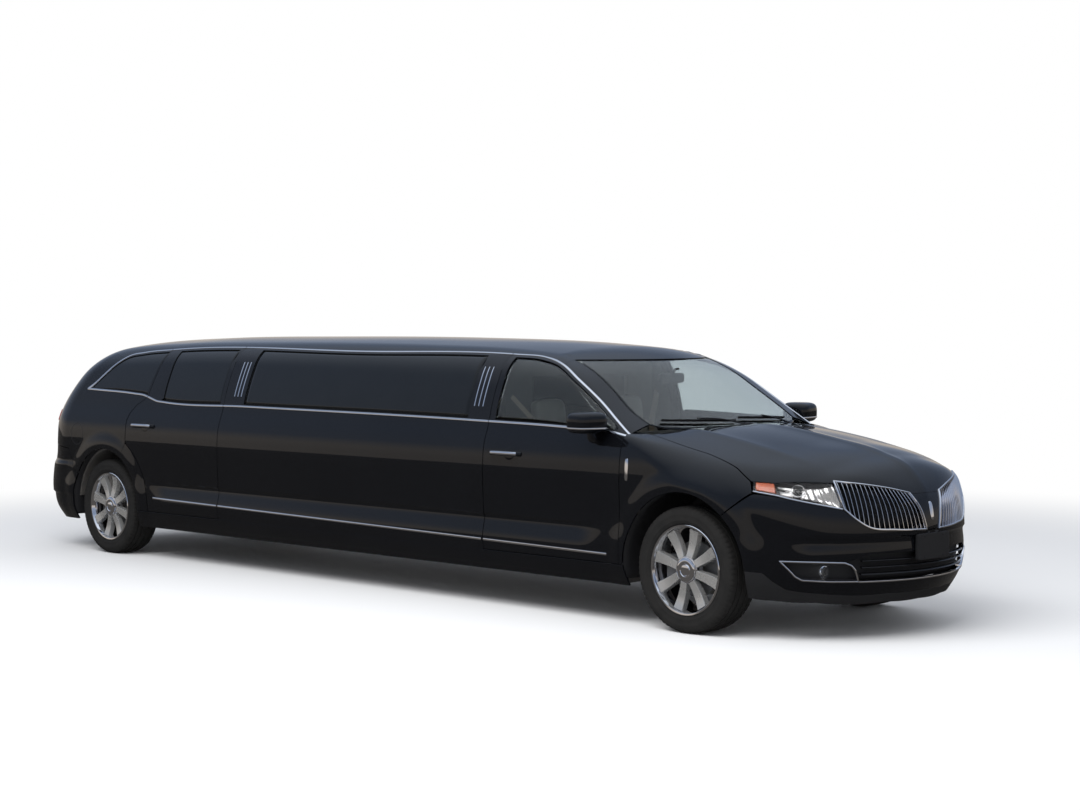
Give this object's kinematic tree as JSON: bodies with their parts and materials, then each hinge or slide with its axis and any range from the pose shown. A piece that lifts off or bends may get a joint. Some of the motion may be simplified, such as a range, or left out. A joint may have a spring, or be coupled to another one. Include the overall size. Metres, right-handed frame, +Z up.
{
  "type": "stretch limousine",
  "caption": "Long-wheelbase passenger limousine with hollow cabin, hinged doors, tailgate and hood, steered front wheels and rolling wheels.",
  "frame": {"origin": "on the ground, under the middle of the body's length and width", "axes": "+X to the nose, +Y to the car's left, +Z up"},
  "size_m": [8.34, 2.24, 1.7061],
  "materials": {
    "paint": "gloss black",
    "black_plastic": "satin",
    "chrome": "polished",
    "glass": "clear",
    "dark_glass": "dark tint",
    "lamp_clear": "clear",
    "lamp_red": "red",
    "tyre": "matte",
    "alloy": "satin",
    "steel": "dark",
    "engine_alloy": "cast",
    "pipe": "dull",
    "leather": "grained",
    "lining": "matt"
  },
  "bodies": {
    "body": {"roof": "paint", "quarter_panels": "paint", "stretch_panels": "paint", "front_fenders": "paint", "front_bumper": "paint", "rear_bumper": "paint", "rocker_covers": "paint", "floor": "steel", "bulkhead": "steel", "windscreen": "glass", "side_windows": "dark_glass", "grille": "chrome", "head_lamps": "lamp_clear", "rear_corner_lamps": "lamp_red", "engine": "engine_alloy", "front_subframe": "steel", "rear_axle": "steel", "drive_shaft": "steel", "exhaust": "pipe", "fuel_tank": "black_plastic", "dashboard": "black_plastic", "steering_wheel": "black_plastic", "front_seats": "leather", "partition": "lining", "lounge_seats": "leather"},
    "door_front_left": {"front_door_left": "paint", "front_door_glass_left": "glass"},
    "door_front_right": {"front_door_right": "paint", "front_door_glass_right": "glass"},
    "door_rear_left": {"rear_door_left": "paint", "rear_door_glass_left": "dark_glass"},
    "door_rear_right": {"rear_door_right": "paint", "rear_door_glass_right": "dark_glass"},
    "tailgate": {"tailgate": "paint", "tailgate_glass": "dark_glass", "tail_lamp": "lamp_red"},
    "hood": {"hood": "paint"},
    "steering_left": {"knuckle_left": "steel"},
    "steering_right": {"knuckle_right": "steel"},
    "wheel_front_left": {"tyre_front_left": "tyre", "wheel_front_left": "alloy"},
    "wheel_front_right": {"tyre_front_right": "tyre", "wheel_front_right": "alloy"},
    "wheel_rear_left": {"tyre_rear_left": "tyre", "wheel_rear_left": "alloy"},
    "wheel_rear_right": {"tyre_rear_right": "tyre", "wheel_rear_right": "alloy"}
  },
  "joints": [
    {"name": "front_door_left_hinge", "type": "hinge", "parent": "body", "child": "door_front_left", "pos_m": [2.58, 0.95, 0.8], "axis": [0, 0, -1], "range_deg": [0, 65]},
    {"name": "rear_door_left_hinge", "type": "hinge", "parent": "body", "child": "door_rear_left", "pos_m": [-1.475, 0.95, 0.8], "axis": [0, 0, -1], "range_deg": [0, 65]},
    {"name": "front_door_right_hinge", "type": "hinge", "parent": "body", "child": "door_front_right", "pos_m": [2.58, -0.95, 0.8], "axis": [0, 0, 1], "range_deg": [0, 65]},
    {"name": "rear_door_right_hinge", "type": "hinge", "parent": "body", "child": "door_rear_right", "pos_m": [-1.475, -0.95, 0.8], "axis": [0, 0, 1], "range_deg": [0, 65]},
    {"name": "tailgate_hinge", "type": "hinge", "parent": "body", "child": "tailgate", "pos_m": [-3.672, 0, 1.532], "axis": [0, 1, 0], "range_deg": [0, 80]},
    {"name": "hood_hinge", "type": "hinge", "parent": "body", "child": "hood", "pos_m": [2.675, 0, 1.105], "axis": [0, -1, 0], "range_deg": [0, 50]},
    {"name": "steering_left_pivot", "type": "hinge", "parent": "body", "child": "steering_left", "pos_m": [3.085, 0.715, 0.235], "axis": [0, -0.1903, 0.9817], "range_deg": [-33, 33]},
    {"name": "steering_right_pivot", "type": "hinge", "parent": "body", "child": "steering_right", "pos_m": [3.085, -0.715, 0.235], "axis": [0, 0.1903, 0.9817], "range_deg": [-33, 33]},
    {"name": "wheel_front_left_spin", "type": "hinge", "parent": "steering_left", "child": "wheel_front_left", "pos_m": [3.085, 0.812, 0.37], "axis": [0, 1, 0], "continuous": true},
    {"name": "wheel_front_right_spin", "type": "hinge", "parent": "steering_right", "child": "wheel_front_right", "pos_m": [3.085, -0.812, 0.37], "axis": [0, 1, 0], "continuous": true},
    {"name": "wheel_rear_left_spin", "type": "hinge", "parent": "body", "child": "wheel_rear_left", "pos_m": [-2.958, 0.812, 0.37], "axis": [0, 1, 0], "continuous": true},
    {"name": "wheel_rear_right_spin", "type": "hinge", "parent": "body", "child": "wheel_rear_right", "pos_m": [-2.958, -0.812, 0.37], "axis": [0, 1, 0], "continuous": true}
  ],
  "couplings": [
    {"joint": "steering_right_pivot", "follows": "steering_left_pivot", "ratio": 1}
  ]
}
